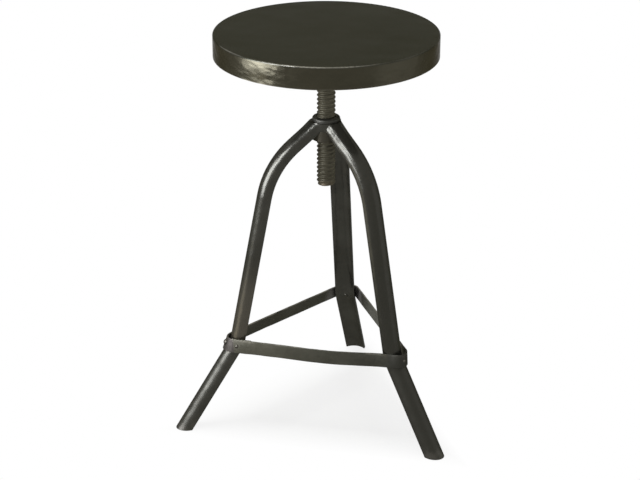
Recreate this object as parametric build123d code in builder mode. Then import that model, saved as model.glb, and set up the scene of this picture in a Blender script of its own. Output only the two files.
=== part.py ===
"""Three-legged stool with a round metal-clad seat on a coarse lifting screw.

Millimetres, +Z up, origin on the floor under the screw, rear leg towards +Y.
The seat stands at the height it is photographed at.
"""
import os
from math import acos, atan2, ceil, cos, degrees, hypot, pi, radians, sin, sqrt, tan

from build123d import *

# Seat
seat_diameter = 360.0
seat_depth = 36.0  # top face down to the lower edge of the rim
top_sheet = 2.5
top_edge_radius = 2.2
rim_sheet = 2.5
rim_seam_gap = 0.6
rim_seam_angle = 263.0  # where the rim's two ends meet, from +X
core_thickness = 19.0
core_clearance = 0.3
bottom_sheet = 1.2

# Flange under the seat
flange_diameter = 120.0
flange_thickness = 5.0
flange_weld_leg = 6.0
flange_hole_inset = 14.0  # hole centres in from the flange's edge
flange_screw_count = 4
wood_screw_diameter = 5.0
wood_screw_head_diameter = 9.5
wood_screw_head_height = 3.2
wood_screw_cover = 4.2  # core left above the screw tips
hole_clearance = 0.05

# Lifting screw
screw_above_hub = 118.3  # hub top up to the flange, at the photographed height
screw_below_hub = 79.7
screw_diameter = 30.2
thread_pitch = 7.25
thread_depth = 2.2
thread_clearance = 0.35
screw_tip_radius = 5.0
spigot_step = 1.9  # spigot radius less than the screw's mean radius
sections_per_turn = 8

# Hub
hub_length = 31.0
hub_drop = 1.0  # hub top below the apex of the leg centre lines
collar_gap = 0.3
collar_height = 6.2
collar_round = 3.0
collar_inset = 0.5  # collar radius less than the hub's
collar_clearance = 0.4
fillet_limit = 0.9  # largest share of a wall that a fillet takes

# Legs, of pipe pressed hollow along the side towards the axis
leg_diameter = 33.4
leg_wall = 3.2
leg_lip = 2.9  # how far the sides run on past the half circle
leg_lip_edge = 1.2
leg_hollow = 6.0  # depth of the pressed side, at its middle
apex_height = 521.0  # where the leg centre lines would meet on the screw's axis
shoulder_reach = 90.0
shoulder_drop = 74.0  # below the apex
shoulder_radius = 135.0
kink_reach = 148.3
kink_height = 145.5
kink_radius = 45.0
foot_reach = 240.8
leg_weld_leg = 2.8
leg_weld_gap = 0.4

# Foot band
band_width = 22.0
band_thickness = 3.0
band_lean = 11.0  # degrees, lower edge outwards
band_fit = 0.2
lap_length = 30.0
lap_gap = 0.1
lap_end_setback = 0.5  # outer end of the strip, past where the left bend starts

# Rivets
rivet_diameter = 5.0
rivet_head_diameter = 10.0
rivet_head_height = 3.4
rivet_tail_diameter = 7.5
rivet_tail_height = 2.0
leg_rivet_rise = 2.5  # above the band's middle
leg_tail_gap = 1.0
lap_rivet_share = 0.65  # size of the lap rivet next to the leg rivets
lap_rivet_inset = 7.5  # from the strip's outer end
lap_tail_gap = 0.2

# Legs by name, rear leg towards +Y, angles from +X
leg_names = ("rear", "left", "right")
strip_order = ("left", "rear", "right")  # as the foot band passes the legs
sector = 360 / len(leg_names)
leg_angles = {name: 90 + sector * place for place, name in enumerate(leg_names)}
front_angle = 270.0  # the bar between the left and the right leg faces this way
half_sector = radians(sector / 2)

# The pressed side is an arc between the lips, its middle at hollow_floor from the pipe's centre
leg_radius = leg_diameter / 2
hollow_half_width = leg_radius - leg_lip_edge
hollow_radius = (hollow_half_width**2 + leg_hollow**2) / (2 * leg_hollow)
hollow_floor = leg_hollow - leg_lip
hollow_centre = hollow_floor - hollow_radius

# The hub is just wide enough for the welds of neighbouring legs to stay apart
hub_radius = (leg_radius + leg_weld_leg + leg_weld_gap) / sin(half_sector)
hub_top = apex_height - hub_drop
hub_bottom = hub_top - hub_length
collar_bottom = hub_top + collar_gap
collar_bore = screw_diameter / 2 + collar_clearance
collar_radius = hub_radius - collar_inset

# Heights from the hub up to the seat
flange_bottom = hub_top + screw_above_hub
flange_top = flange_bottom + flange_thickness
core_bottom = flange_top + bottom_sheet
core_top = core_bottom + core_thickness
seat_top = core_top + top_sheet
rim_bottom = seat_top - seat_depth
seat_radius = seat_diameter / 2
rim_inside = seat_radius - rim_sheet
core_radius = rim_inside - core_clearance

# Thread: a round section whose centre circles the axis once in each pitch
thread_swing = thread_depth / 2
thread_radius = screw_diameter / 2 - thread_swing
screw_tip = hub_bottom - screw_below_hub
spigot_radius = thread_radius - spigot_step
flange_hole_reach = flange_diameter / 2 - flange_hole_inset
screw_hole_radius = wood_screw_diameter / 2 + hole_clearance
pilot_depth = core_thickness - wood_screw_cover

# Foot band: it wraps the legs where they kink, and meets them along its lower edge
# Its bars lean, so its bends lean more
foot_angle = atan2(foot_reach - kink_reach, kink_height)
shoulder_height = apex_height - shoulder_drop
leg_lean = atan2(kink_reach - shoulder_reach, shoulder_height - kink_height)
band_bottom = kink_height - band_width / 2
wrap_reach = kink_reach + (kink_height - band_bottom) * tan(foot_angle)
wrap_radius = leg_radius / cos(foot_angle) + band_fit
bar_slope = tan(radians(band_lean))
bend_slope = bar_slope / cos(half_sector)
lap_end = -wrap_reach * sin(half_sector) - lap_end_setback
lap_grip = 2 * band_thickness + lap_gap

# Rivets lie square to the leaning band
leg_rivet_height = kink_height + leg_rivet_rise
leg_rivet_reach = (
    wrap_reach + wrap_radius + band_thickness - (leg_rivet_height - band_bottom) * bend_slope
)
lap_rivet_reach = (
    wrap_reach * cos(half_sector) + wrap_radius + lap_grip - (kink_height - band_bottom) * bar_slope
)

# A leg rivet's grip ends at the floor of the pressed side, an arc round the kink's centre
kink_slope = (leg_lean + foot_angle) / 2
kink_away = kink_radius / cos((foot_angle - leg_lean) / 2)
rivet_slope = atan2(bend_slope, 1)
head_out = leg_rivet_reach - kink_reach - kink_away * cos(kink_slope)
head_up = leg_rivet_height - kink_height - kink_away * sin(kink_slope)
head_along = head_out * cos(rivet_slope) + head_up * sin(rivet_slope)
head_aside = head_up * cos(rivet_slope) - head_out * sin(rivet_slope)
leg_grip = head_along + sqrt((kink_radius - hollow_floor) ** 2 - head_aside**2)

os.makedirs("parts", exist_ok=True)


def save(piece, name):
    piece.part.label = name
    export_step(piece.part, f"parts/{name}.step")


def direction(angle):
    return Vector(cos(radians(angle)), sin(radians(angle)), 0)


def radial_plane(angle):
    """Upright plane through the axis: local x is reach from the axis, local y is height."""
    return Plane(origin=(0, 0, 0), x_dir=direction(angle), z_dir=direction(angle - 90))


def thread_form(bottom, top, growth=0.0, tip_radius=0.0, plain_top=0.0):
    """Threaded rod, one stretch for each turn, with a rounded tip and a plain stretch at the top."""
    turns = ceil((top - bottom) / thread_pitch)
    rise = (top - bottom) / (turns * sections_per_turn)
    stretches = []
    for turn in range(turns):
        with BuildPart() as stretch:
            for section in range(sections_per_turn + 1):
                z = bottom + rise * (turn * sections_per_turn + section)
                fade = min(1.0, max(0.0, (top - plain_top - z) / thread_pitch)) if plain_top else 1.0
                below_round = max(0.0, tip_radius - (z - bottom))
                shrink = tip_radius - sqrt(tip_radius**2 - below_round**2)
                phase = 2 * pi * z / thread_pitch
                swing = thread_swing * fade
                with BuildSketch(Plane((swing * cos(phase), swing * sin(phase), z))):
                    Circle(thread_radius + growth - shrink)
            loft()
        stretches.append(stretch.part)
    with BuildPart() as form:
        add(stretches)
    return form.part


def domed_head(plane, diameter, height):
    """Round head that stands on plane, a cap cut from a ball."""
    ball_radius = ((diameter / 2) ** 2 + height**2) / (2 * height)
    with BuildPart() as head:
        with Locations(plane.offset(height - ball_radius)):
            Sphere(ball_radius)
        split(bisect_by=plane, keep=Keep.TOP)
    return head.part


def rivet(plane, grip, tail_gap, share=1.0):
    """Rivet with its head on plane, a shank through grip, and a formed tail behind."""
    with BuildPart() as body:
        add(domed_head(plane, rivet_head_diameter * share, rivet_head_height * share))
        with BuildSketch(plane):
            Circle(rivet_diameter * share / 2)
        extrude(amount=-(grip + tail_gap + rivet_tail_height * share))
        with BuildSketch(plane.offset(-(grip + tail_gap))):
            Circle(rivet_tail_diameter * share / 2)
        extrude(amount=-rivet_tail_height * share)
    return body


def rivet_drill(plane, grip, share=1.0):
    """Rod to drill a rivet's hole with, from the head's top to a shank's width past the grip."""
    with BuildPart() as drill:
        with BuildSketch(plane.offset(rivet_head_height)):
            Circle(rivet_diameter * share / 2 + hole_clearance)
        extrude(amount=-(rivet_head_height + grip + rivet_diameter))
    return drill.part


def band_plane(angle, reach, height, slope, along=0.0):
    """Plane on the band's outer face, where it leans inwards by slope."""
    outward = direction(angle)
    across = direction(angle + 90)
    origin = outward * reach + across * along + Vector(0, 0, height)
    return Plane(origin=origin, x_dir=across, z_dir=outward + Vector(0, 0, slope))


# Seat top sheet
with BuildPart() as seat_top_sheet:
    with BuildSketch(Plane.XY.offset(core_top)):
        Circle(seat_radius)
    extrude(amount=top_sheet)
    fillet(seat_top_sheet.edges().group_by(Axis.Z)[-1], min(top_edge_radius, top_sheet * fillet_limit))
save(seat_top_sheet, "seat_top_sheet")

# Seat rim band, a rolled strip with a butt seam
with BuildPart() as seat_rim_band:
    with BuildSketch(Plane.XY.offset(rim_bottom)):
        Circle(seat_radius)
        Circle(rim_inside, mode=Mode.SUBTRACT)
    extrude(amount=core_top - rim_bottom)
    with BuildSketch(radial_plane(rim_seam_angle)):
        with Locations((rim_inside - rim_sheet, rim_bottom)):
            Rectangle(3 * rim_sheet, seat_depth, align=Align.MIN)
    extrude(amount=rim_seam_gap / 2, both=True, mode=Mode.SUBTRACT)
save(seat_rim_band, "seat_rim_band")

# Seat core with pilot holes for the wood screws
with BuildPart() as seat_core:
    with BuildSketch(Plane.XY.offset(core_bottom)):
        Circle(core_radius)
    extrude(amount=core_thickness)
    with BuildSketch(Plane.XY.offset(core_bottom)):
        with PolarLocations(flange_hole_reach, flange_screw_count):
            Circle(screw_hole_radius)
    extrude(amount=pilot_depth + hole_clearance, mode=Mode.SUBTRACT)
save(seat_core, "seat_core")

# Seat bottom sheet
with BuildPart() as seat_bottom_sheet:
    with BuildSketch(Plane.XY.offset(flange_top)):
        Circle(core_radius)
        with PolarLocations(flange_hole_reach, flange_screw_count):
            Circle(screw_hole_radius, mode=Mode.SUBTRACT)
    extrude(amount=bottom_sheet)
save(seat_bottom_sheet, "seat_bottom_sheet")

# Seat flange with a hole for the screw's spigot
with BuildPart() as seat_flange:
    with BuildSketch(Plane.XY.offset(flange_bottom)):
        Circle(flange_diameter / 2)
        Circle(spigot_radius + hole_clearance, mode=Mode.SUBTRACT)
        with PolarLocations(flange_hole_reach, flange_screw_count):
            Circle(screw_hole_radius, mode=Mode.SUBTRACT)
    extrude(amount=flange_thickness)
save(seat_flange, "seat_flange")

# Wood screws, heads under the flange
flange_underside = Plane(origin=(0, 0, flange_bottom), x_dir=(1, 0, 0), z_dir=(0, 0, -1))
wood_screw_head = domed_head(flange_underside, wood_screw_head_diameter, wood_screw_head_height)
with BuildPart() as flange_screws:
    with PolarLocations(flange_hole_reach, flange_screw_count):
        add(wood_screw_head)
    with BuildSketch(Plane.XY.offset(flange_bottom)):
        with PolarLocations(flange_hole_reach, flange_screw_count):
            Circle(wood_screw_diameter / 2)
    extrude(amount=flange_thickness + bottom_sheet + pilot_depth)
save(flange_screws, "flange_screws")

# Lifting screw: threaded rod with a plain neck as long as the weld, and a spigot up through the flange
with BuildPart() as lift_screw:
    add(thread_form(screw_tip, flange_bottom, tip_radius=screw_tip_radius, plain_top=flange_weld_leg))
    with BuildSketch(Plane.XY.offset(flange_bottom)):
        Circle(spigot_radius)
    extrude(amount=flange_thickness)
save(lift_screw, "lift_screw")

# Weld ring between the flange and the screw's neck
weld_start = thread_radius + hole_clearance
with BuildPart() as flange_weld:
    with BuildSketch(Plane.XZ):
        with BuildLine():
            Polyline(
                (weld_start, flange_bottom),
                (weld_start + flange_weld_leg, flange_bottom),
                (weld_start, flange_bottom - flange_weld_leg),
                close=True,
            )
        make_face()
    revolve(axis=Axis.Z)
save(flange_weld, "flange_weld")

# Wear collar, loose on the screw
with BuildPart() as wear_collar:
    with BuildSketch(Plane.XY.offset(collar_bottom)):
        Circle(collar_radius)
        Circle(collar_bore, mode=Mode.SUBTRACT)
    extrude(amount=collar_height)
    rim = wear_collar.edges().group_by(Axis.Z)[-1].sort_by(SortBy.RADIUS)[-1]
    fillet(rim, min(collar_round, fillet_limit * min(collar_height, collar_radius - collar_bore)))
save(wear_collar, "wear_collar")

# Hub nut, tapped with the screw's own form plus the thread clearance
with BuildPart() as hub_nut:
    with BuildSketch(Plane.XY.offset(hub_bottom)):
        Circle(hub_radius)
    extrude(amount=hub_length)
    add(
        thread_form(hub_bottom - thread_pitch, hub_top + thread_pitch, growth=thread_clearance),
        mode=Mode.SUBTRACT,
    )
save(hub_nut, "hub_nut")

# Leg centre line as reach and height, run on a pipe's width below the floor and then cut level
foot_overrun = 1 + leg_diameter / hypot(foot_reach - kink_reach, kink_height)
leg_points = [
    (0, apex_height),
    (shoulder_reach, shoulder_height),
    (kink_reach, kink_height),
    (kink_reach + (foot_reach - kink_reach) * foot_overrun, kink_height * (1 - foot_overrun)),
]


def leg_section(plane):
    """Pressed pipe on plane: half round at its back along local x, hollow on the other side."""
    with BuildSketch(plane) as section:
        with Locations((-leg_lip, 0)):
            Rectangle(leg_lip, leg_diameter, align=(Align.MIN, Align.CENTER))
        with BuildLine():
            back = CenterArc((0, 0), leg_radius, -90, 180)
            Line(back @ 1, back @ 0)
        make_face()
        with Locations((hollow_centre, 0)):
            Circle(hollow_radius, mode=Mode.SUBTRACT)
    with BuildSketch(plane) as bore:
        Circle(leg_radius - leg_wall)
        with Locations((hollow_centre, 0)):
            Circle(hollow_radius + leg_wall, mode=Mode.SUBTRACT)
    return section.sketch - bore.sketch


# Legs with their welds and rivets
rivet_planes = {}
for name, angle in leg_angles.items():
    rivet_planes[name] = band_plane(angle, leg_rivet_reach, leg_rivet_height, bend_slope)
    with BuildLine(radial_plane(angle)) as centre_line:
        FilletPolyline(*leg_points, radius=[shoulder_radius, kink_radius])
    heading = centre_line.line % 0
    root_plane = Plane(
        origin=centre_line.line @ 0, x_dir=direction(angle - 90).cross(heading), z_dir=heading
    )
    with BuildPart() as leg:
        sweep(sections=leg_section(root_plane), path=centre_line.line)
        split(bisect_by=Plane.XY, keep=Keep.TOP)
        split(bisect_by=Plane.XY.offset(hub_top), keep=Keep.BOTTOM)
        with BuildSketch(Plane.XY):
            Circle(hub_radius)
        extrude(amount=apex_height, mode=Mode.SUBTRACT)
        add(rivet_drill(rivet_planes[name], leg_grip), mode=Mode.SUBTRACT)
    save(leg, f"leg_{name}")

    with BuildPart() as leg_weld:
        with BuildSketch(root_plane):
            Circle(leg_radius + leg_weld_leg)
            Circle(leg_radius, mode=Mode.SUBTRACT)
            with Locations((-leg_diameter, 0)):
                Rectangle(2 * leg_diameter, 2 * leg_diameter, mode=Mode.SUBTRACT)
        extrude(amount=2 * hub_radius)
        with BuildSketch(Plane.XY.offset(hub_bottom)):
            Circle(hub_radius + leg_weld_leg)
            Circle(hub_radius, mode=Mode.SUBTRACT)
        extrude(amount=hub_length, mode=Mode.INTERSECT)
    save(leg_weld, f"leg_weld_{name}")

    save(rivet(rivet_planes[name], leg_grip, leg_tail_gap), f"leg_rivet_{name}")


def strip_face(centre_reach, bend_radius, lap_reach):
    """Draws one face of the strip seen from above, from its inner end round the legs to its outer end."""
    bar_reach = centre_reach * cos(half_sector) + bend_radius
    inner_end = Vector(lap_end + lap_length, -bar_reach)
    lap_start = Vector(lap_end + lap_length + band_thickness, -lap_reach)
    outer_end = Vector(lap_end, -lap_reach)
    to_lap = lap_start - direction(leg_angles["right"]) * centre_reach
    lap_tangent = degrees(atan2(to_lap.Y, to_lap.X) + acos(bend_radius / to_lap.length))
    bends = []
    for name in strip_order:
        bend_start = leg_angles[name] + sector / 2
        bend_end = 360 + lap_tangent if name == "right" else bend_start - sector
        centre = direction(leg_angles[name]) * centre_reach
        bends.append(CenterArc(centre, bend_radius, bend_start, bend_end - bend_start))
    left, rear, right = bends
    Line(inner_end, left @ 0)
    Line(left @ 1, rear @ 0)
    Line(rear @ 1, right @ 0)
    Polyline(right @ 1, lap_start, outer_end)
    return inner_end, outer_end


def band_outline(rise):
    """The open strip seen from above, at a rise over its lower edge."""
    centre_reach = wrap_reach - rise * bend_slope
    lap_reach = centre_reach * cos(half_sector) + wrap_radius + band_thickness + lap_gap
    with BuildSketch(Plane.XY.offset(band_bottom + rise)) as outline:
        with BuildLine():
            inside_ends = strip_face(centre_reach, wrap_radius, lap_reach)
            outside_ends = strip_face(
                centre_reach, wrap_radius + band_thickness, lap_reach + band_thickness
            )
            for inside, outside in zip(inside_ends, outside_ends):
                Line(inside, outside)
        make_face()
    return outline.sketch


# Foot band, an open strip that leans with the legs, its ends lapped at the front left
lap_plane = band_plane(front_angle, lap_rivet_reach, kink_height, bar_slope, lap_end + lap_rivet_inset)
with BuildPart() as foot_band:
    loft(sections=[band_outline(0), band_outline(band_width)], ruled=True)
    for rivet_plane in rivet_planes.values():
        add(rivet_drill(rivet_plane, band_thickness), mode=Mode.SUBTRACT)
    add(rivet_drill(lap_plane, lap_grip, lap_rivet_share), mode=Mode.SUBTRACT)
save(foot_band, "foot_band")

save(rivet(lap_plane, lap_grip, lap_tail_gap, lap_rivet_share), "band_lap_rivet")
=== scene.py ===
import math
import random

import bpy
from mathutils import Matrix, Vector


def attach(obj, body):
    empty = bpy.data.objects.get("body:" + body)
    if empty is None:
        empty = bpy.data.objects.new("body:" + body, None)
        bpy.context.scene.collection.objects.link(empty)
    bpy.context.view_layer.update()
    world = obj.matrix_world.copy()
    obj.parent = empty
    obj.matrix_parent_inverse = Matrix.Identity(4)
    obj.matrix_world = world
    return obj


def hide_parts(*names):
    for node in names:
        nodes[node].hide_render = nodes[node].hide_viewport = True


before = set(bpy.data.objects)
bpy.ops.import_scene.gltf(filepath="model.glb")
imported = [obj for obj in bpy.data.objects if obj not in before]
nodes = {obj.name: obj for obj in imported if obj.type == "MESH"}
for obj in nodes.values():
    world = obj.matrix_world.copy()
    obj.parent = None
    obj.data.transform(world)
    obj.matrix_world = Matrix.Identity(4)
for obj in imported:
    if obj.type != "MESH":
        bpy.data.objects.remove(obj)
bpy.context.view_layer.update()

scene = bpy.context.scene
up = Vector((0, 0, 1))
legAngles = {"rear": 90, "left": 210, "right": 330}
random.seed(7)
print("frame loaded:", len(nodes), "nodes")


# small helpers for modelling by operator

def clearSelection():
    if bpy.context.object and bpy.context.object.mode != "OBJECT":
        bpy.ops.object.mode_set(mode="OBJECT")
    bpy.ops.object.select_all(action="DESELECT")


def pick(*pieces):
    clearSelection()
    for piece in pieces:
        piece.select_set(True)
    bpy.context.view_layer.objects.active = pieces[0]


def named(name):
    piece = bpy.context.object
    piece.name = name
    piece.data.name = name
    return piece


def settle(piece):  # place, turn and size go into the mesh
    pick(piece)
    bpy.ops.object.transform_apply(location=True, rotation=True, scale=True)


def applyModifier(piece, kind, **values):
    pick(piece)
    modifier = piece.modifiers.new(kind, kind)
    for key, value in values.items():
        setattr(modifier, key, value)
    bpy.ops.object.modifier_apply(modifier=modifier.name)


def editWhole(piece, operator, **values):  # one edit operator on all of the mesh
    pick(piece)
    bpy.ops.object.mode_set(mode="EDIT")
    bpy.ops.mesh.select_all(action="SELECT")
    operator(**values)
    bpy.ops.object.mode_set(mode="OBJECT")


def cut(piece, place, normal):  # keeps the side that the normal points to
    editWhole(piece, bpy.ops.mesh.bisect, plane_co=place, plane_no=normal, clear_inner=True, use_fill=True)


def crease(piece, angle):  # smooth but for edges sharper than the angle
    pick(piece)
    bpy.ops.object.shade_smooth_by_angle(angle=math.radians(angle))


def merged(pieces, name):
    pick(*pieces)
    bpy.ops.object.join()
    return named(name)


def copyOf(piece):
    copy = piece.copy()
    copy.data = piece.data.copy()
    scene.collection.objects.link(copy)
    return copy


def along(angle):  # level direction, in degrees from +X
    return Vector((math.cos(math.radians(angle)), math.sin(math.radians(angle)), 0))


def setAt(place, axis):  # moves to the place and turns +Z to the axis
    return Matrix.Translation(place) @ axis.to_track_quat("Z", "X").to_matrix().to_4x4()


def upright(radius, low, high, sides):  # cylinder on the Z axis
    clearSelection()
    bpy.ops.mesh.primitive_cylinder_add(
        vertices=sides, radius=radius, depth=high - low, location=up * (low + high) / 2)
    settle(bpy.context.object)
    return bpy.context.object


# node helpers

def addNode(tree, kind, **values):
    node = tree.nodes.new(kind)
    for key, value in values.items():
        setattr(node, key, value)
    return node


def link(tree, source, target):
    tree.links.new(source, target)


def mixColours(tree, factor, first, second):
    mix = addNode(tree, "ShaderNodeMix", data_type="RGBA")
    link(tree, factor, mix.inputs["Factor"])
    for value, socket in ((first, mix.inputs["A"]), (second, mix.inputs["B"])):
        if isinstance(value, tuple):
            socket.default_value = (*value, 1)
        else:
            link(tree, value, socket)
    return mix.outputs["Result"]


def mathNode(tree, operation, *values, clamp=False):
    node = addNode(tree, "ShaderNodeMath", operation=operation, use_clamp=clamp)
    for value, socket in zip(values, node.inputs):
        if isinstance(value, (int, float)):
            socket.default_value = value
        else:
            link(tree, value, socket)
    return node.outputs["Value"]


def spread(tree, value, low, high, toLow, toHigh):
    node = addNode(tree, "ShaderNodeMapRange")
    link(tree, value, node.inputs["Value"])
    for name, number in (("From Min", low), ("From Max", high), ("To Min", toLow), ("To Max", toHigh)):
        node.inputs[name].default_value = number
    return node.outputs["Result"]


def noise(tree, place, scale, **values):
    node = addNode(tree, "ShaderNodeTexNoise")
    link(tree, place, node.inputs["Vector"])
    link(tree, scale, node.inputs["Scale"])
    for name, number in values.items():
        node.inputs[name.capitalize()].default_value = number
    return node.outputs["Fac"]


def newGroup(name, vectors, numbers, outputs):
    group = bpy.data.node_groups.new(name, "ShaderNodeTree")
    for socketName in vectors:
        group.interface.new_socket(socketName, in_out="INPUT", socket_type="NodeSocketVector")
    for socketName in numbers:
        group.interface.new_socket(socketName, in_out="INPUT", socket_type="NodeSocketFloat")
    for socketName in outputs:
        group.interface.new_socket(socketName, in_out="OUTPUT", socket_type="NodeSocketFloat")
    return group, addNode(group, "NodeGroupInput").outputs, addNode(group, "NodeGroupOutput").inputs


def addGroup(tree, group, place, values):
    node = addNode(tree, "ShaderNodeGroup", node_tree=group)
    link(tree, place, node.inputs["Vector"])
    for name, value in values.items():
        node.inputs[name.capitalize()].default_value = value
    return node.outputs


# broad mottling, fine grain and shallow dents of hand-worked steel
patinaLook = {
    "broad": {"detail": 4, "roughness": 0.55}, "fine": {"detail": 3}, "dent": {"detail": 1},
    "mottle": (0.32, 0.68), "grain": (0.3, 0.7), "grainHeight": 0.0015,
}


def makePatina(look):
    group, given, result = newGroup(
        "patina", ["Vector"], ["Broad", "Fine", "Dent"], ["Mottle", "Grain", "Height"])
    broad = noise(group, given["Vector"], given["Broad"], **look["broad"])
    fine = noise(group, given["Vector"], given["Fine"], **look["fine"])
    dent = noise(group, given["Vector"], given["Dent"], **look["dent"])
    link(group, spread(group, broad, *look["mottle"], 0, 1), result["Mottle"])
    link(group, spread(group, fine, *look["grain"], 0, 1), result["Grain"])
    link(group, mathNode(group, "MULTIPLY_ADD", fine, look["grainHeight"], dent), result["Height"])
    return group


# lighter edge band: a broken band round one height, or with Round at 1 round one rim; scuffed paint, and on
# the seat and the strap also a painted highlight
edgeScuffAndHighlightLook = {"detail": 4, "broken": (0.38, 0.62)}


def makeEdgeScuffAndHighlight(look):
    group, given, result = newGroup(
        "edgeScuffAndHighlight", ["Vector"], ["Level", "Radius", "Round", "Spread", "Breaks"], ["Mask"])
    split = addNode(group, "ShaderNodeSeparateXYZ")
    link(group, given["Vector"], split.inputs["Vector"])
    x, y, z = split.outputs
    squared = mathNode(group, "MULTIPLY", y, y)
    reach = mathNode(group, "SQRT", mathNode(group, "MULTIPLY_ADD", x, x, squared))
    aside = mathNode(group, "MULTIPLY", mathNode(group, "SUBTRACT", reach, given["Radius"]), given["Round"])
    above = mathNode(group, "SUBTRACT", z, given["Level"])
    squared = mathNode(group, "MULTIPLY", above, above)
    away = mathNode(group, "SQRT", mathNode(group, "MULTIPLY_ADD", aside, aside, squared))
    near = mathNode(group, "SUBTRACT", 1, mathNode(group, "DIVIDE", away, given["Spread"]), clamp=True)
    breaks = noise(group, given["Vector"], given["Breaks"], detail=look["detail"])
    broken = spread(group, breaks, *look["broken"], 0, 1)
    link(group, mathNode(group, "MULTIPLY", near, broken), result["Mask"])
    return group


def makeSpan():  # rises from 0 to 1 along a direction, between two distances
    group, given, result = newGroup("span", ["Vector", "Along"], ["Start", "End"], ["Mask"])
    out = addNode(group, "ShaderNodeVectorMath", operation="DOT_PRODUCT")
    link(group, given["Vector"], out.inputs[0])
    link(group, given["Along"], out.inputs[1])
    rise = addNode(group, "ShaderNodeMapRange")
    link(group, out.outputs["Value"], rise.inputs["Value"])
    link(group, given["Start"], rise.inputs["From Min"])
    link(group, given["End"], rise.inputs["From Max"])
    link(group, rise.outputs["Result"], result["Mask"])
    return group


patina = makePatina(patinaLook)
edgeScuffAndHighlight = makeEdgeScuffAndHighlight(edgeScuffAndHighlightLook)
span = makeSpan()
directions = {"x": along(0), "y": along(90), "z": up}
directions.update({name: along(angle) for name, angle in legAngles.items()})


def spanMask(tree, place, direction, start, end):
    values = {"along": directions[direction], "start": start, "end": end}
    return addGroup(tree, span, place, values)["Mask"]


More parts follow.
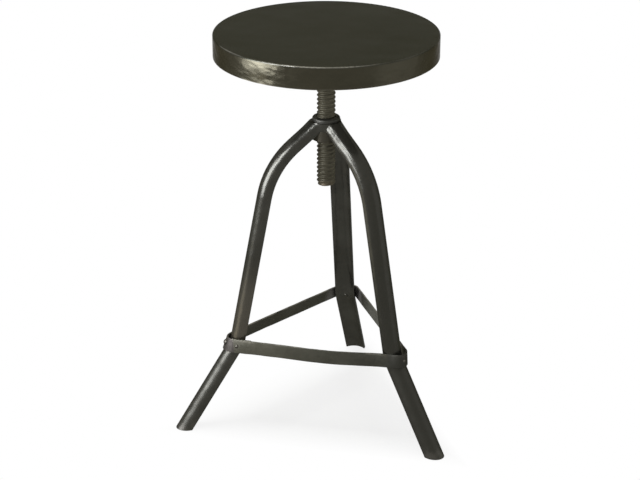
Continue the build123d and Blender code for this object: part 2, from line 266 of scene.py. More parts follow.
# every lacquered finish is one shader with its own values: a patch covers the dark and the light of the
# mottling by the two shares in cover, within its spans
finishes = {
    "seatLacquer": {
        "dark": (0.0350, 0.0345, 0.0258), "light": (0.0385, 0.0380, 0.0288), "warm": (0.041, 0.037, 0.025),
        "metal": 0.62, "graze": (0.42, 0.419, 0.407), "rough": (0.2, 0.27), "warmth": 0.6,
        "broad": 7, "fine": 320, "dent": 17, "dentDepth": 0.0012,
        # the lighter top edge is partly scuffed paint and partly a painted highlight where the light catches
        # it
        "scuffAndHighlight": {"level": 0.6654, "radius": 0.1794, "round": 1, "spread": 0.0016, "breaks": 14},
        "scuffAndHighlightColour": (0.22, 0.21, 0.18),
        "scuffAndHighlightSpans": [(-0.165, -0.125), (0.13, 0.03)],  # the lighter edge shows fully between these, along X: a painted highlight where the light catches the edge, with scuffed paint
    },
    "rimLacquer": {
        "dark": (0.0410, 0.0380, 0.0260), "light": (0.0480, 0.0445, 0.0305), "warm": (0.052, 0.045, 0.029),
        "metal": 0.62, "graze": (0.47, 0.46, 0.44), "rough": (0.2, 0.27), "warmth": 0.5,
        "broad": 22, "fine": 320, "dent": 40, "dentDepth": 0.0011, "stretch": (1, 1, 2.2),
        "scuffAndHighlight": {"level": 0.630, "radius": 0.180, "round": 1, "spread": 0.0015, "breaks": 30},
        "scuffAndHighlightColour": (0.14, 0.13, 0.1),
        "crown": {"from": 0.645, "curve": 2.6},  # the strip draws in towards the top sheet
    },
    "pipeLacquer": {
        "dark": (0.040, 0.039, 0.0322), "light": (0.056, 0.055, 0.0462), "warm": (0.056, 0.048, 0.035),
        "metal": 0.54, "graze": (0.42, 0.42, 0.4), "rough": (0.22, 0.27), "warmth": 0.3,
        "broad": 16, "fine": 300, "dent": 34, "dentDepth": 0.0016,
        "patches": [  # brown above the band on the left leg, painted shade darkening the right leg on the side away from the light, duller feet
            {
                "spans": [("x", -0.05, -0.1), ("z", 0.14, 0.16), ("z", 0.3, 0.19)],
                "cover": (0.48, 0.8), "colour": (0.095, 0.085, 0.066),
            },
            # painted shade: the right leg darker below the hub
            {
                "spans": [("x", 0.06, 0.1), ("z", 0.5, 0.42)],
                "cover": (0.48, 0.8), "colour": (0.032, 0.031, 0.025),
            },
            {"spans": [("z", 0.15, 0.12)], "cover": (1, 1), "rough": 0.13},
        ],
        "scuffAndHighlight": {"level": 0.0, "spread": 0.02, "breaks": 90}, "scuffAndHighlightColour": (0.07, 0.066, 0.055),
    },
    "collarLacquer": {
        "dark": (0.042, 0.0415, 0.0345), "light": (0.054, 0.053, 0.045), "warm": (0.052, 0.045, 0.033),
        "metal": 0.45, "graze": (0.4, 0.4, 0.37), "rough": (0.44, 0.54), "warmth": 0.3,
        "broad": 30, "fine": 300, "dent": 60, "dentDepth": 0.0008,
        "scuffAndHighlight": {"level": 0.5265, "spread": 0.001, "breaks": 90}, "scuffAndHighlightColour": (0.09, 0.085, 0.07),
    },
    "hubSteel": {
        "dark": (0.046, 0.0425, 0.0315), "light": (0.06, 0.0555, 0.042), "warm": (0.058, 0.049, 0.034),
        "metal": 0.35, "graze": (0.45, 0.45, 0.42), "rough": (0.34, 0.46), "warmth": 0.5,
        "broad": 45, "fine": 400, "dent": 90, "dentDepth": 0.0004,
        "scuffAndHighlight": {"level": 0.489, "spread": 0.001, "breaks": 90}, "scuffAndHighlightColour": (0.09, 0.08, 0.06),
    },
    "strapLacquer": {
        "dark": (0.038, 0.0375, 0.0295), "light": (0.056, 0.055, 0.044), "warm": (0.058, 0.05, 0.035),
        "metal": 0.55, "graze": (0.45, 0.45, 0.42), "rough": (0.28, 0.4), "warmth": 0.4,
        "broad": 20, "fine": 300, "dent": 60, "dentDepth": 0.0006,
        # the lighter top edge is partly scuffed paint and partly a painted highlight, held back at the right
        # end
        "scuffAndHighlight": {"level": 0.1564, "spread": 0.0016, "breaks": 45}, "scuffAndHighlightColour": (0.17, 0.16, 0.13),
        "scuffAndHighlightSpans": [(0.13, 0.09)],
        "patches": [  # feet rest on the left of the front bar; a painted reflection lightens the back right bar near the right leg
            {
                "spans": [("x", 0.09, -0.11), ("y", -0.06, -0.09)],
                "cover": (0.48, 0.8), "colour": (0.112, 0.108, 0.082),
            },
            # painted reflection: the back right bar lighter near the right leg
            {
                "spans": [("x", 0.025, 0.065), ("y", 0, 0.03)],
                "cover": (0.48, 0.8), "colour": (0.21, 0.208, 0.187),
            },
            # rougher where it passes the legs, darker at the right wrap, and lighter at the rear one as
            # painted light lifting the shade in its corners
            {
                "spans": [("left", 0.1630, 0.1655)],
                "cover": (1, 1), "colour": (0.05, 0.045, 0.039), "rough": 0.2,
            },
            # painted light: the rear wrap lighter, lifting the shade in its corners
            {
                "spans": [("rear", 0.130, 0.142)],
                "cover": (1, 1), "colour": (0.11, 0.105, 0.094), "rough": 0.25,
            },
            {
                "spans": [("right", 0.148, 0.158)],
                "cover": (1, 1), "colour": (0.034, 0.033, 0.027), "rough": 0.12,
            },
        ],
    },
    "screwSteel": {
        "dark": (0.078, 0.0725, 0.0515), "light": (0.115, 0.1075, 0.078), "warm": (0.108, 0.0935, 0.063),
        "metal": 0.2, "graze": (0.45, 0.45, 0.42), "rough": (0.42, 0.58), "warmth": 0.6,
        "broad": 45, "fine": 500, "dent": 90, "dentDepth": 0.0003,
        "scuffAndHighlight": {"level": 0.41, "spread": 0.012, "breaks": 90}, "scuffAndHighlightColour": (0.13, 0.105, 0.07),
    },
    "weldLacquer": {
        "dark": (0.038, 0.0375, 0.031), "light": (0.055, 0.054, 0.0455), "warm": (0.054, 0.047, 0.035),
        "metal": 0.62, "graze": (0.42, 0.42, 0.4), "rough": (0.2, 0.26), "warmth": 0.3,
        "broad": 40, "fine": 400, "dent": 110, "dentDepth": 0.0006,
    },
    "rivetLacquer": {
        "dark": (0.036, 0.035, 0.028), "light": (0.055, 0.053, 0.043), "warm": (0.055, 0.046, 0.032),
        "metal": 0.6, "graze": (0.45, 0.45, 0.42), "rough": (0.32, 0.46), "warmth": 0.6,
        "broad": 70, "fine": 500, "dent": 220, "dentDepth": 0.0004,
        "scuffAndHighlight": {"level": 0.15, "spread": 0.004, "breaks": 150}, "scuffAndHighlightColour": (0.13, 0.12, 0.1),
    },
    "undersideSteel": {
        "dark": (0.38, 0.38, 0.36), "light": (0.48, 0.48, 0.46), "warm": (0.4, 0.36, 0.28),
        "metal": 0.7, "graze": (0.7, 0.7, 0.68), "rough": (0.36, 0.52), "warmth": 0.4,
        "broad": 22, "fine": 260, "dent": 30, "dentDepth": 0.0006,
        "scuffAndHighlight": {"level": 0.6383, "spread": 0.002, "breaks": 60}, "scuffAndHighlightColour": (0.1, 0.09, 0.07),
    },
    "zincSteel": {
        "dark": (0.32, 0.32, 0.3), "light": (0.5, 0.5, 0.47), "warm": (0.42, 0.38, 0.28),
        "metal": 1.0, "graze": (0.9, 0.9, 0.88), "rough": (0.28, 0.45), "warmth": 0.6,
        "broad": 120, "fine": 700, "dent": 300, "dentDepth": 0.0002,
        "scuffAndHighlight": {"level": 0.635, "spread": 0.002, "breaks": 200}, "scuffAndHighlightColour": (0.6, 0.6, 0.57),
    },
}


def stretched(tree, place, scale):
    mapping = addNode(tree, "ShaderNodeMapping")
    mapping.inputs["Scale"].default_value = scale
    link(tree, place, mapping.inputs["Vector"])
    return mapping.outputs["Vector"]


def crowned(tree, place, height, look):
    axes = addNode(tree, "ShaderNodeSeparateXYZ")
    link(tree, place, axes.inputs["Vector"])
    above = mathNode(tree, "SUBTRACT", axes.outputs["Z"], look["crown"]["from"])
    above = mathNode(tree, "MAXIMUM", above, 0)
    bend = -look["crown"]["curve"] / look["dentDepth"]
    return mathNode(tree, "MULTIPLY_ADD", mathNode(tree, "MULTIPLY", above, above), bend, height)


sharedLook = {"warmFrom": 0.55, "outsideSpans": 0.15}  # shared by every finish; the second value is how much of the lighter edge band, scuffed paint and painted highlight, shows outside its spans


def lacquer(name, look):
    material = bpy.data.materials.new(name)
    material.use_nodes = True
    tree = material.node_tree
    shader = tree.nodes["Principled BSDF"]
    place = drawn = addNode(tree, "ShaderNodeTexCoord").outputs["Object"]
    if "stretch" in look:
        drawn = stretched(tree, place, look["stretch"])
    aged = addGroup(tree, patina, drawn, {key: look[key] for key in ("broad", "fine", "dent")})
    colour = mixColours(tree, aged["Mottle"], look["dark"], look["light"])
    warmth = spread(tree, aged["Grain"], sharedLook["warmFrom"], 1, 0, look["warmth"])
    colour = mixColours(tree, warmth, colour, look["warm"])
    rough = spread(tree, aged["Grain"], 0, 1, *look["rough"])
    for patch in look.get("patches", []):
        mask = spread(tree, aged["Mottle"], 0, 1, *patch["cover"])
        for direction, start, end in patch["spans"]:
            mask = mathNode(tree, "MULTIPLY", mask, spanMask(tree, place, direction, start, end))
        if "colour" in patch:
            colour = mixColours(tree, mask, colour, patch["colour"])
        if "rough" in patch:
            rough = mathNode(tree, "MULTIPLY_ADD", mask, patch["rough"], rough)
    # lighter edge band: scuffed paint, and a painted highlight where its spans keep it to the side that the
    # light catches
    if "scuffAndHighlight" in look:
        scuffedAndHighlit = addGroup(tree, edgeScuffAndHighlight, place, look["scuffAndHighlight"])["Mask"]
        for start, end in look.get("scuffAndHighlightSpans", []):
            scuffAndHighlightSpans = spanMask(tree, place, "x", start, end)
            scuffedAndHighlit = mathNode(tree, "MULTIPLY", scuffedAndHighlit, spread(tree, scuffAndHighlightSpans, 0, 1, sharedLook["outsideSpans"], 1))
        colour = mixColours(tree, scuffedAndHighlit, colour, look["scuffAndHighlightColour"])
    height = aged["Height"]
    if "crown" in look:
        height = crowned(tree, place, height, look)
    bump = addNode(tree, "ShaderNodeBump")
    bump.inputs["Strength"].default_value = 1
    bump.inputs["Distance"].default_value = look["dentDepth"]
    link(tree, height, bump.inputs["Height"])
    link(tree, colour, shader.inputs["Base Color"])
    link(tree, rough, shader.inputs["Roughness"])
    link(tree, bump.outputs["Normal"], shader.inputs["Normal"])
    shader.inputs["Metallic"].default_value = look["metal"]
    shader.inputs["Specular IOR Level"].default_value = 0
    shader.inputs["Specular Tint"].default_value = (*look["graze"], 1)
    return material


plyLook = {
    "pale": (0.5, 0.36, 0.2), "brown": (0.3, 0.18, 0.09), "rough": (0.55, 0.75),
    "plies": 19.2308, "waver": 0.4, "grain": 130, "grainDetail": 6, "stretch": (0.12, 1, 1),
}


def plywood(name, look):
    material = bpy.data.materials.new(name)
    material.use_nodes = True
    tree = material.node_tree
    shader = tree.nodes["Principled BSDF"]
    place = addNode(tree, "ShaderNodeTexCoord").outputs["Object"]
    plies = addNode(tree, "ShaderNodeTexWave", wave_type="BANDS", bands_direction="Z")
    plies.inputs["Scale"].default_value = look["plies"]
    plies.inputs["Distortion"].default_value = look["waver"]
    link(tree, place, plies.inputs["Vector"])
    grain = addNode(tree, "ShaderNodeTexNoise")
    grain.inputs["Scale"].default_value = look["grain"]
    grain.inputs["Detail"].default_value = look["grainDetail"]
    link(tree, stretched(tree, place, look["stretch"]), grain.inputs["Vector"])
    shade = mathNode(tree, "MULTIPLY", plies.outputs["Fac"], grain.outputs["Fac"])
    link(tree, mixColours(tree, shade, look["brown"], look["pale"]), shader.inputs["Base Color"])
    link(tree, spread(tree, grain.outputs["Fac"], 0, 1, *look["rough"]), shader.inputs["Roughness"])
    return material


materials = {name: lacquer(name, look) for name, look in finishes.items()}
materials["plywood"] = plywood("plywood", plyLook)
print("finishes made:", ", ".join(materials))


# finish of each CAD node that is kept
nodeFinish = {
    "seat_top_sheet": "seatLacquer", "seat_rim_band": "rimLacquer", "seat_core": "plywood",
    "seat_bottom_sheet": "undersideSteel", "seat_flange": "undersideSteel",
    "lift_screw": "screwSteel", "wear_collar": "collarLacquer", "hub_nut": "hubSteel",
    "leg_rear": "pipeLacquer", "leg_left": "pipeLacquer", "leg_right": "pipeLacquer",
}
for nodeName, finish in nodeFinish.items():
    nodes[nodeName].data.materials.clear()
    nodes[nodeName].data.materials.append(materials[finish])
print("CAD nodes finished:", len(nodeFinish))


def dress(piece, finish, body, slot, *replaced):
    piece.data.materials.clear()
    piece.data.materials.append(materials[finish])
    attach(piece, body)
    if replaced:
        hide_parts(*replaced)


def hammer(piece, size, depth):  # uneven blows, moved into the mesh
    texture = bpy.data.textures.new(piece.name + "Blows", "CLOUDS")
    texture.noise_scale = size
    applyModifier(piece, "DISPLACE", texture=texture, texture_coords="GLOBAL", strength=depth, mid_level=0.5)


def runTogether(piece, look):  # one skin over all that the piece holds, dressed smooth
    applyModifier(piece, "REMESH", mode="VOXEL", voxel_size=look["voxel"], use_smooth_shade=True)
    applyModifier(piece, "SMOOTH", factor=0.5, iterations=look["dressing"])


# foot strap: one flat bar bent cold round the legs, its right wrap a little high and twisted
strapLook = {
    "width": 0.022, "thickness": 0.003, "corner": 0.0006, "level": 0.1455,
    "bendReach": 0.15101, "bendRadius": 0.02149, "flankRadius": 0.0193,
    "lapEnd": -0.13498, "lapLength": 0.030, "lapStep": 0.0031, "lapRise": 0.0016, "lapLean": 20,
    "barLean": 11, "bendLean": 21.25,
    "rightLean": {"start": 0, "middle": 8, "end": 20},
    "rightRise": {"start": 0.0014, "middle": 0.0028, "end": 0.0020},
    "rightPull": {"start": -0.0025, "middle": -0.002, "end": 0.0025},
    "rearLean": 0, "rearPull": -0.0025,  # the bar at the back right stands upright and a little out
    "innerRise": 0.0009, "innerLean": 18, "innerEndLean": 14, "sagX": 0.02, "sagRise": -0.0012,
    "bendHandle": 0.3573,  # share of the bend's radius
    "innerHandle": 0.008, "rightHandle": 0.037, "sagHandle": 0.04, "lapHandle": 0.01,
    "steps": 36, "cornerSteps": 4, "seamLimit": 0.00001, "blowSize": 0.022, "blowDepth": 0.0007, "crease": 40,
}


def strapPoints(look):  # place, tangent, handle back, handle on, lean, rise
    arm = look["bendHandle"] * look["bendRadius"]
    barHandle = math.sqrt(3) * look["bendReach"] / 3
    barReach = look["bendReach"] / 2 + look["flankRadius"]
    lapReach = barReach + look["lapStep"]
    inner, right, sag, lap = (look[key + "Handle"] for key in ("inner", "right", "sag", "lap"))
    back = along(180)
    innerEnd = Vector((look["lapEnd"] + look["lapLength"], -barReach, 0))
    points = [(innerEnd, back, inner, inner, look["innerEndLean"], look["innerRise"])]
    parts = (("start", 60, "barLean"), ("middle", 0, "bendLean"), ("end", -60, "barLean"))
    for name in ("left", "rear", "right"):
        centre = along(legAngles[name]) * look["bendReach"]
        for part, offset, lean in parts:
            angle = legAngles[name] + offset
            before = barHandle if part == "start" else arm
            after = barHandle if part == "end" else arm
            radius = look["bendRadius"] if part == "middle" else look["flankRadius"]
            turned, rise, pull = look[lean], 0, 0
            if name == "right":
                turned, rise, pull = (look[key][part] for key in ("rightLean", "rightRise", "rightPull"))
                after = right if part == "end" else after
            elif name == "rear" and part == "end":
                turned, pull = look["rearLean"], look["rearPull"]
            elif name == "left" and part == "start":
                turned, rise, before = look["innerLean"], look["innerRise"], inner
            spot = centre + along(angle) * (radius - pull)
            points.append((spot, along(angle - 90), before, after, turned, rise))
    sagPlace = Vector((look["sagX"], -(barReach + lapReach) / 2, 0))
    lapStart = Vector((innerEnd.x + look["thickness"], -lapReach, 0))
    lapEnd = Vector((look["lapEnd"], -lapReach, 0))
    points.append((sagPlace, back, right, sag, look["barLean"], look["sagRise"]))
    points.append((lapStart, back, sag, lap, look["barLean"], look["lapRise"]))
    points.append((lapEnd, back, lap, lap, look["lapLean"], look["lapRise"]))
    return points


def makeStrap(look):
    clearSelection()
    bpy.ops.mesh.primitive_plane_add(size=1)
    profile = named("strapProfile")
    profile.scale = (look["thickness"], look["width"], 1)
    settle(profile)
    editWhole(
        profile, bpy.ops.mesh.bevel, offset=look["corner"], segments=look["cornerSteps"], affect="VERTICES")
    editWhole(profile, bpy.ops.mesh.delete, type="ONLY_FACE")
    bpy.ops.object.convert(target="CURVE")
    clearSelection()
    bpy.ops.curve.primitive_bezier_curve_add()
    strap = named("footStrap")
    curve = strap.data
    curve.twist_mode = "Z_UP"
    curve.bevel_mode, curve.bevel_object = "OBJECT", profile
    curve.use_fill_caps = True
    curve.resolution_u = look["steps"]
    bends = curve.splines[0].bezier_points
    points = strapPoints(look)
    bends.add(len(points) - len(bends))
    for bend, (place, tangent, before, after, lean, rise) in zip(bends, points):
        lifted = place + up * (look["level"] + rise)
        bend.handle_left_type = bend.handle_right_type = "FREE"
        bend.co = lifted
        bend.handle_left, bend.handle_right = lifted - tangent * before, lifted + tangent * after
        bend.tilt = math.radians(lean)
    pick(strap)
    bpy.ops.object.convert(target="MESH")
    bpy.data.objects.remove(profile)
    editWhole(strap, bpy.ops.mesh.remove_doubles, threshold=look["seamLimit"])
    editWhole(strap, bpy.ops.mesh.normals_make_consistent, inside=False)
    hammer(strap, look["blowSize"], look["blowDepth"])
    crease(strap, look["crease"])
    dress(strap, "strapLacquer", "stand", "band_steel", "foot_band")


makeStrap(strapLook)
print("foot strap bent")

# the legs' roots and the hub are run together by weld, dressed smooth, one piece for each leg
rootLook = {
    "apex": 0.521, "slope": 39.43, "near": 0.0186, "far": 0.0163, "from": 0.004, "to": 0.046, "lip": 0.0025,
    "hubRadius": 0.0238, "bottom": 0.506, "top": 0.5201, "spare": 0.004, "bore": 0.0195, "boreSpare": 0.05,
    "hubSides": 96, "legSides": 64, "voxel": 0.0008, "dressing": 34, "blowSize": 0.012, "blowDepth": 0.0003,
    "shareTurns": (30, -30), "crease": 50,
}


def makeRoots(look):
    slope = math.radians(look["slope"])
    runs = [upright(look["hubRadius"], look["bottom"], look["top"] + look["spare"], look["hubSides"])]
    for angle in legAngles.values():
        axis = along(angle) * math.cos(slope) - up * math.sin(slope)
        back = along(angle) * math.sin(slope) + up * math.cos(slope)
        middle = up * look["apex"] + axis * (look["from"] + look["to"]) / 2
        clearSelection()
        bpy.ops.mesh.primitive_cone_add(
            vertices=look["legSides"], radius1=look["near"], radius2=look["far"],
            depth=look["to"] - look["from"])
        stub = bpy.context.object
        stub.matrix_world = setAt(middle, axis)
        settle(stub)
        cut(stub, middle - back * look["lip"], back)
        runs.append(stub)
    weld = merged(runs, "hubWeld")
    runTogether(weld, look)
    hammer(weld, look["blowSize"], look["blowDepth"])
    low, high = look["bottom"] - look["boreSpare"], look["top"] + look["boreSpare"]
    bore = upright(look["bore"], low, high, look["hubSides"])
    applyModifier(weld, "BOOLEAN", operation="DIFFERENCE", object=bore, solver="EXACT")
    bpy.data.objects.remove(bore)
    cut(weld, up * look["top"], -up)
    for name, angle in legAngles.items():
        share = copyOf(weld)
        pick(share)
        named("weldBead" + name.capitalize())
        for turn in look["shareTurns"]:
            cut(share, up * look["top"], along(angle + turn))
        crease(share, look["crease"])
        dress(share, "weldLacquer", "stand", "weld_steel", "leg_weld_" + name)
    bpy.data.objects.remove(weld)


makeRoots(rootLook)

# weld ring under the flange: one ripple, copied round the screw and run together
ringLook = {
    "radius": 0.0166, "level": 0.6362, "ripple": (0.0022, 0.0034, 0.0028), "uneven": 0.14, "count": 36,
    "segments": 16, "rings": 10, "voxel": 0.0005, "dressing": 3,
}


def makeRing(look):
    clearSelection()
    bpy.ops.mesh.primitive_uv_sphere_add(segments=look["segments"], ring_count=look["rings"], radius=1)
    ripple = named("ringRipple")
    ripples = []
    for place in range(look["count"]):
        outward = along(360 * place / look["count"])
        tangent = along(360 * place / look["count"] + 90)
        normal = (outward - up).normalized()
        side = normal.cross(tangent)
        turn = Matrix((tangent, side, normal)).transposed().to_4x4()
        grow = [size * random.uniform(1 - look["uneven"], 1 + look["uneven"]) for size in look["ripple"]]
        spot = outward * look["radius"] + up * look["level"]
        bead = copyOf(ripple)
        bead.matrix_world = Matrix.Translation(spot) @ turn @ Matrix.Diagonal((*grow, 1))
        ripples.append(bead)
    bpy.data.objects.remove(ripple)
    ring = merged(ripples, "flangeBead")
    settle(ring)
    runTogether(ring, look)
    dress(ring, "weldLacquer", "seat", "weld_steel", "flange_weld")


makeRing(ringLook)
print("welds run:", len(legAngles) + 1)

# rivets: a domed head, hammered, with its shank and its beaten tail
rivetLook = {
    "head": 0.010, "rise": 0.0034, "shank": 0.005, "grip": 0.0199, "tail": 0.0075, "tailRise": 0.0019,
}
lapLook = {
    "head": 0.0065, "rise": 0.0022, "shank": 0.00325, "grip": 0.0063, "tail": 0.0049, "tailRise": 0.0013,
}
rivetPlace = {"reach": 0.17303, "height": 0.148, "slope": 0.3888}
lapPlace = {"spot": (-0.12748, -0.0992, 0.1475), "slope": 0.1944}
rivetWork = {"sides": 28, "sunk": 0.0005, "blowSize": 0.35, "blowDepth": 0.16, "crease": 50}
capLook = {"segments": 36, "rings": 24}


def domedCap(diameter, rise):
    ball = ((diameter / 2) ** 2 + rise**2) / (2 * rise)
    clearSelection()
    bpy.ops.mesh.primitive_uv_sphere_add(
        segments=capLook["segments"], ring_count=capLook["rings"], radius=ball, location=up * (rise - ball))
    cap = bpy.context.object
    settle(cap)
    cut(cap, (0, 0, 0), up)
    return cap


def makeRivet(name, look, work, place, axis):
    head = domedCap(look["head"], look["rise"])
    tail = domedCap(look["tail"], look["tailRise"])
    tail.rotation_euler = (math.pi, 0, 0)
    tail.location = up * -look["grip"]
    settle(tail)
    shank = upright(look["shank"] / 2, -look["grip"] - work["sunk"], work["sunk"], work["sides"])
    rivet = merged([head, tail, shank], name)
    rivet.matrix_world = setAt(place, axis)
    settle(rivet)
    hammer(rivet, look["head"] * work["blowSize"], look["rise"] * work["blowDepth"])
    crease(rivet, work["crease"])
    return rivet


for legName, legAngle in legAngles.items():
    rivetSpot = along(legAngle) * rivetPlace["reach"] + up * rivetPlace["height"]
    rivetAxis = along(legAngle) + up * rivetPlace["slope"]
    legRivet = makeRivet("legRivet" + legName.capitalize(), rivetLook, rivetWork, rivetSpot, rivetAxis)
    dress(legRivet, "rivetLacquer", "stand", "rivet_steel", "leg_rivet_" + legName)
lapAxis = along(270) + up * lapPlace["slope"]
lapRivet = makeRivet("lapRivet", lapLook, rivetWork, lapPlace["spot"], lapAxis)
dress(lapRivet, "rivetLacquer", "stand", "rivet_steel", "band_lap_rivet")
print("rivets set:", len(legAngles) + 1)

# slotted wood screws under the seat
woodScrew = {
    "reach": 0.046, "count": 4, "under": 0.6383, "head": 0.0095, "rise": 0.0032,
    "shank": 0.005, "length": 0.021, "sides": 24, "crease": 40,
    "slotWidth": 0.0012, "slotDepth": 0.0014, "slotSpan": 1.2, "edge": 0.00025, "edgeSteps": 2,
}


def makeWoodScrews(look):
    head = domedCap(look["head"], look["rise"])
    clearSelection()
    bpy.ops.mesh.primitive_cube_add(size=1, location=up * look["rise"])
    slot = named("slotCutter")
    slot.scale = (look["head"] * look["slotSpan"], look["slotWidth"], 2 * look["slotDepth"])
    settle(slot)
    applyModifier(head, "BOOLEAN", operation="DIFFERENCE", object=slot, solver="EXACT")
    bpy.data.objects.remove(slot)
    applyModifier(
        head, "BEVEL", width=look["edge"], segments=look["edgeSteps"], limit_method="ANGLE",
        angle_limit=math.radians(look["crease"]))
    shank = upright(look["shank"] / 2, -look["length"], 0, look["sides"])
    first = merged([head, shank], "woodScrew")
    screws = []
    for place in range(look["count"]):
        turn = Matrix.Rotation(math.radians(random.uniform(0, 180)), 4, "Z")
        spot = along(360 * place / look["count"]) * look["reach"] + up * look["under"]
        screw = copyOf(first)
        screw.matrix_world = Matrix.Translation(spot) @ Matrix.Rotation(math.pi, 4, "X") @ turn
        screws.append(screw)
    bpy.data.objects.remove(first)
    row = merged(screws, "woodScrews")
    settle(row)
    crease(row, look["crease"])
    dress(row, "zincSteel", "seat", "zinc_steel", "flange_screws")


makeWoodScrews(woodScrew)

# the rim's butt seam is welded and dressed flush, open only at its two ends
seamLook = {
    "angle": 263, "radius": 0.180, "sheet": 0.0024, "gap": 0.0007, "bottom": 0.6325, "top": 0.6615,
    "sunk": 0.00008, "cuts": 5, "edge": 0.00012, "edgeSteps": 2,
}


def makeSeam(look):
    clearSelection()
    bpy.ops.mesh.primitive_cube_add(size=1)
    seam = named("rimSeamWeld")
    reach = look["radius"] - look["sunk"] - look["sheet"] / 2
    seam.scale = (look["sheet"], look["gap"], look["top"] - look["bottom"])
    seam.rotation_euler = (0, 0, math.radians(look["angle"]))
    seam.location = along(look["angle"]) * reach + up * (look["bottom"] + look["top"]) / 2
    settle(seam)
    editWhole(seam, bpy.ops.mesh.subdivide, number_cuts=look["cuts"])
    applyModifier(seam, "BEVEL", width=look["edge"], segments=look["edgeSteps"], limit_method="ANGLE")
    dress(seam, "rimLacquer", "seat", "weld_steel")


makeSeam(seamLook)
print("screws and seam done")


def seenRays(tree):  # rays that show a surface, and don't light others by it
    path = addNode(tree, "ShaderNodeLightPath").outputs
    seen = mathNode(tree, "MAXIMUM", path["Is Camera Ray"], path["Is Glossy Ray"])
    return mathNode(tree, "MAXIMUM", seen, path["Is Transmission Ray"])


# floor, white round the stool and shaded between its feet
floorLook = {
    "radius": 9, "sides": 96, "level": -0.0004, "colour": (0.9, 0.9, 0.89), "lift": 0.66,
    # where it turns white, on the side across from each leg
    "across": {"rear": (0.065, 0.15), "left": (0.125, 0.165), "right": (0.06, 0.155)},
}


def makeFloor(look):
    clearSelection()
    bpy.ops.mesh.primitive_circle_add(
        vertices=look["sides"], radius=look["radius"], fill_type="NGON", location=up * look["level"])
    floor = named("floor")
    material = bpy.data.materials.new("paleFloor")
    material.use_nodes = True
    tree = material.node_tree
    tree.nodes.clear()
    output = addNode(tree, "ShaderNodeOutputMaterial")
    paint = addNode(tree, "ShaderNodeBsdfDiffuse")
    paint.inputs["Color"].default_value = (*look["colour"], 1)
    glow = addNode(tree, "ShaderNodeEmission")
    blend = addNode(tree, "ShaderNodeMixShader")
    place = addNode(tree, "ShaderNodeTexCoord").outputs["Object"]
    white = look["lift"]
    for name, (inner, outer) in look["across"].items():  # whiter out past each side of the feet's triangle
        past = spanMask(tree, place, name, -inner, -outer)
        white = mathNode(tree, "MAXIMUM", white, spread(tree, past, 0, 1, look["lift"], 1))
    link(tree, mathNode(tree, "MULTIPLY", seenRays(tree), white), blend.inputs["Fac"])
    link(tree, paint.outputs["BSDF"], blend.inputs[1])
    link(tree, glow.outputs["Emission"], blend.inputs[2])
    link(tree, blend.outputs["Shader"], output.inputs["Surface"])
    floor.data.materials.append(material)


makeFloor(floorLook)

# white surroundings, and a plain level of light for what isn't seen
worldLook = {"white": 1.0, "light": 0.55}


def makeWorld(look):
    world = bpy.data.worlds.new("studio")
    scene.world = world
    world.use_nodes = True
    tree = world.node_tree
    tree.nodes.clear()
    output = addNode(tree, "ShaderNodeOutputWorld")
    blend = addNode(tree, "ShaderNodeMixShader")
    link(tree, seenRays(tree), blend.inputs["Fac"])
    for strength, socket in ((look["light"], blend.inputs[1]), (look["white"], blend.inputs[2])):
        background = addNode(tree, "ShaderNodeBackground")
        background.inputs["Color"].default_value = (1, 1, 1, 1)
        background.inputs["Strength"].default_value = strength
        link(tree, background.outputs["Background"], socket)
    link(tree, blend.outputs["Shader"], output.inputs["Surface"])


makeWorld(worldLook)

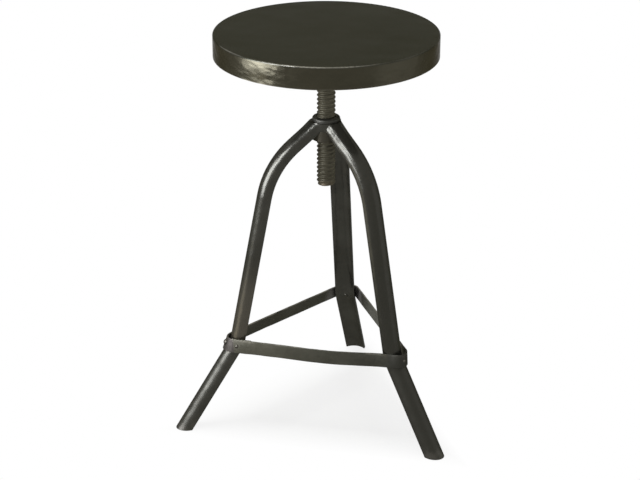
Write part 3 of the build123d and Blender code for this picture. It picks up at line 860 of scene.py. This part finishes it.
# soft panels: azimuth from +X, distance and height from the floor under the screw
panels = {
    "keyPanel": {
        "azimuth": 219, "distance": 1.35, "height": 0.76, "size": (0.76, 0.68), "power": 47.7, "aim": 0.6,
        "tint": (0.92, 0.95, 1.08), "floor": False,
    },
    "lowPanel": {
        "azimuth": 213, "distance": 1.35, "height": 0.355, "size": (0.8, 0.13), "power": 3.2, "aim": 0.355,
        "tint": (0.92, 0.95, 1.08), "floor": False,
    },
    "upperPanel": {
        "azimuth": 239, "distance": 1.35, "height": 1.23, "size": (0.56, 0.38), "power": 23, "aim": 0.55,
        "tint": (0.92, 0.95, 1.08), "floor": False,
    },
    "floorPanel": {  # the lit floor beside the key panel
        "azimuth": 214, "distance": 1.25, "height": 0.01, "size": (0.5, 1.2), "power": 4, "aim": "up",
        "tint": (1, 0.95, 0.82), "floor": False,
    },
    "fillPanel": {
        "azimuth": 357, "distance": 1.6, "height": 0.5, "size": (1.5, 1.0), "power": 2.8, "aim": 0.5,
        "tint": (0.95, 0.98, 1.12), "floor": False,
    },
    "overheadPanel": {
        "azimuth": 150, "distance": 0.6, "height": 2.7, "size": (2.4, 2.0), "power": 52, "aim": 0.3,
        "tint": (1, 1, 1), "floor": True,
    },
}


def makePanel(name, look):
    lamp = bpy.data.lights.new(name, "AREA")
    lamp.shape = "RECTANGLE"
    lamp.size, lamp.size_y = look["size"]
    lamp.energy, lamp.color = look["power"], look["tint"]
    panel = bpy.data.objects.new(name, lamp)
    scene.collection.objects.link(panel)
    panel.location = along(look["azimuth"]) * look["distance"] + up * look["height"]
    if look["aim"] == "up":
        panel.rotation_euler = (math.pi, 0, math.radians(look["azimuth"] - 90))
    else:
        aim = up * look["aim"] - panel.location
        panel.rotation_euler = aim.to_track_quat("-Z", "Y").to_euler()
    panel.visible_camera = False
    panel.visible_diffuse = look["floor"]  # the other panels are only mirrored


for panelName, panelLook in panels.items():
    makePanel(panelName, panelLook)
print("stage lit")

# camera of the photograph
cameraLook = {
    "place": (0.6766, -2.8806, 1.5655), "tilt": 67.010, "turn": 13.406, "roll": 0.069,
    "lens": 109.704, "sensor": 36,
}


def makeCamera(look):
    camera = bpy.data.objects.new("photoCamera", bpy.data.cameras.new("photoCamera"))
    scene.collection.objects.link(camera)
    camera.data.sensor_fit = "HORIZONTAL"
    camera.data.sensor_width = look["sensor"]
    camera.data.lens = look["lens"]
    turn = Matrix.Rotation(math.radians(look["turn"]), 4, "Z")
    tilt = Matrix.Rotation(math.radians(look["tilt"]), 4, "X")
    roll = Matrix.Rotation(math.radians(look["roll"]), 4, "Z")
    camera.matrix_world = Matrix.Translation(look["place"]) @ turn @ tilt @ roll
    scene.camera = camera


makeCamera(cameraLook)
scene.view_settings.view_transform = "Standard"

print("stool dressed")
